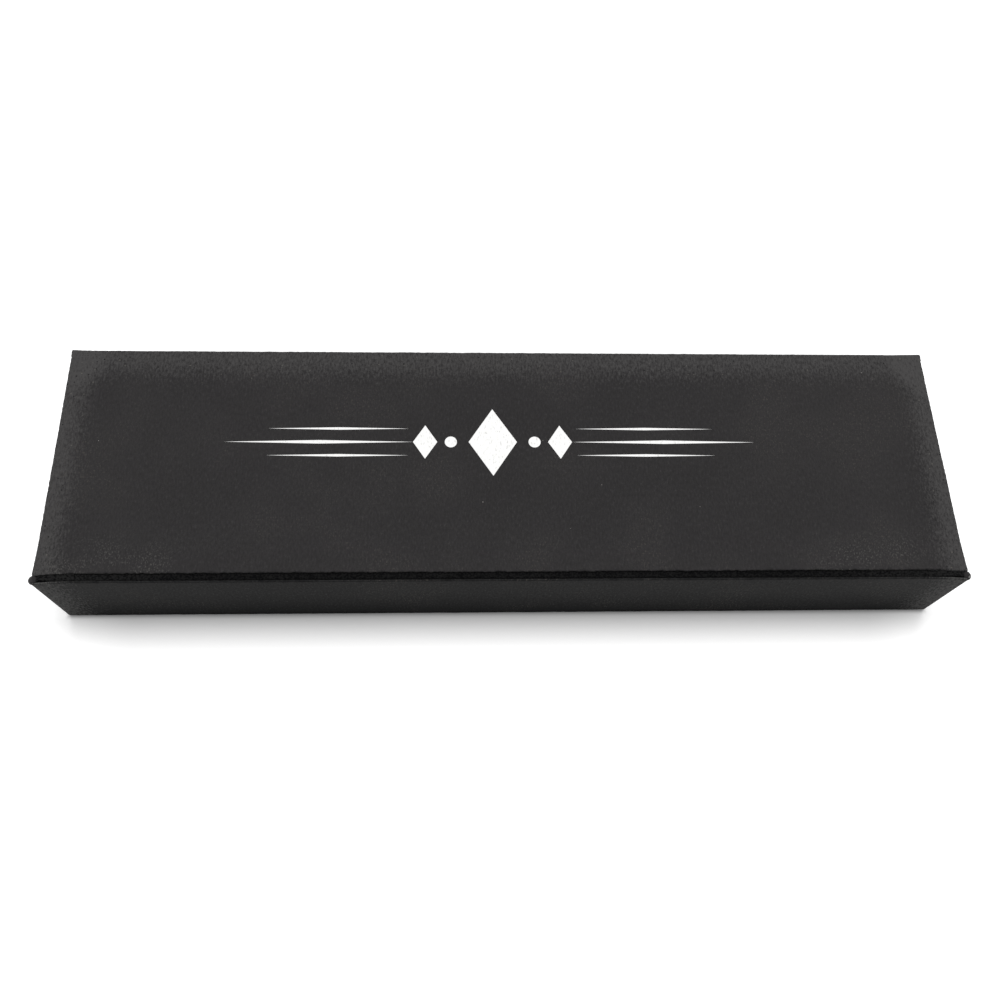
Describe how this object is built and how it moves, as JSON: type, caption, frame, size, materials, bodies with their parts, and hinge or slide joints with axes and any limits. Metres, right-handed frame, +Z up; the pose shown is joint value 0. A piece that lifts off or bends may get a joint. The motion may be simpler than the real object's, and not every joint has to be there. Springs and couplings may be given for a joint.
{
  "type": "wand pen in a flap case",
  "caption": "Flat leatherette-covered flap case with a hinged lid and magnetic front flap, holding a twist-action wand pen in a lined foam insert.",
  "frame": {"origin": "middle of the closed case's underside", "axes": "+X along the case, to the right as seen from the flap; -Y towards the flap; +Z up"},
  "size_m": [0.19, 0.054, 0.022],
  "materials": {
    "leatherette": "satin",
    "greyboard": "matte",
    "black_paper": "matte",
    "velvet": "matte",
    "foam": "matte",
    "steel": "satin",
    "nickel": "satin",
    "brass": "polished",
    "walnut": "satin"
  },
  "bodies": {
    "case": {"base_board": "greyboard", "base_cover": "leatherette", "spine_board": "greyboard", "spine_cover": "leatherette", "tray_board": "greyboard", "tray_paper": "black_paper", "keeper_discs": "steel", "insert_foam": "foam", "insert_velvet": "velvet", "nose_cone": "brass", "shaft_barrel": "walnut", "shaft_tube": "brass", "centre_ring": "brass", "twist_body": "brass"},
    "lid": {"lid_board": "greyboard", "lid_cover": "leatherette", "lid_lining": "black_paper", "lid_fold": "leatherette", "flap_fold": "leatherette"},
    "flap": {"flap_board": "greyboard", "flap_cover": "leatherette", "flap_lining": "black_paper", "flap_magnets": "nickel"},
    "handle": {"handle_barrel": "walnut", "handle_tube": "brass", "handle_ring": "brass", "pommel": "walnut", "twist_rotor": "steel"},
    "refill": {"refill_slider": "steel", "refill_tube": "steel", "refill_tip": "brass", "refill_ball": "steel"}
  },
  "joints": [
    {"name": "lid_hinge", "type": "hinge", "parent": "case", "child": "lid", "pos_m": [0, 0.0266, 0.0216], "axis": [-1, 0, 0], "range_deg": [0, 180]},
    {"name": "flap_hinge", "type": "hinge", "parent": "lid", "child": "flap", "pos_m": [0, -0.0266, 0.0216], "axis": [-1, 0, 0], "range_deg": [0, 90]},
    {"name": "handle_twist", "type": "hinge", "parent": "case", "child": "handle", "pos_m": [0, 0.0002, 0.01275], "axis": [1, 0, 0], "range_deg": [0, 180]},
    {"name": "refill_slide", "type": "slide", "parent": "handle", "child": "refill", "axis": [-1, 0, 0], "range_m": [0, 0.005]}
  ],
  "couplings": [
    {"joint": "refill_slide", "follows": "handle_twist", "m_per_rad": 0.0015915}
  ]
}
